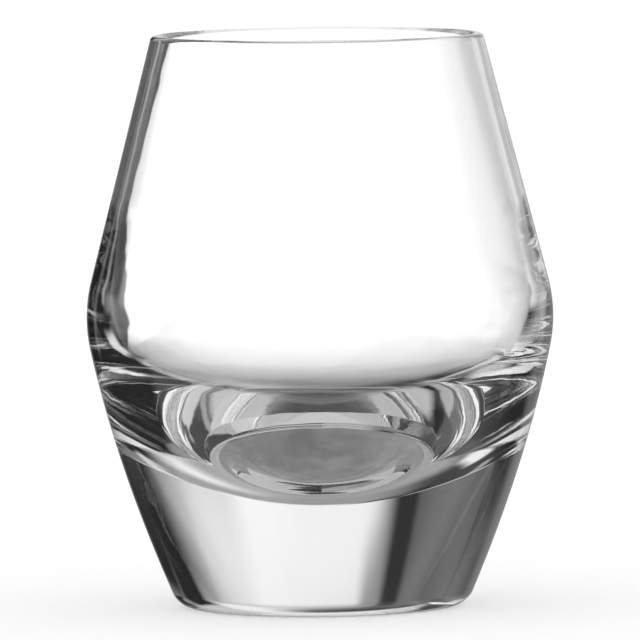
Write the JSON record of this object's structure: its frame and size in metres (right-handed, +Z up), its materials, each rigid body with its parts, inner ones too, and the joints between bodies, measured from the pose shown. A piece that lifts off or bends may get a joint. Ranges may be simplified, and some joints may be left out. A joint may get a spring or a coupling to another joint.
{
  "type": "rocks glass",
  "caption": "Short heavy-based drinking glass whose conical bowl widens down to a soft belly crease, with a thick clear tapered base and a shallow hollow underneath.",
  "frame": {"origin": "centre of the standing face, on the surface that the glass stands on", "axes": "+Z up along the glass's axis of revolution, towards the rim; X and Y are free"},
  "size_m": [0.0856, 0.0856, 0.105],
  "materials": {
    "bowl_glass": "clear soda-lime glass, fire-polished, smooth and glossy",
    "base_glass": "clear thick soda-lime glass, pressed and fire-polished, smooth and glossy"
  },
  "bodies": {
    "root": {"bowl": "bowl_glass", "base": "base_glass"}
  },
  "joints": []
}
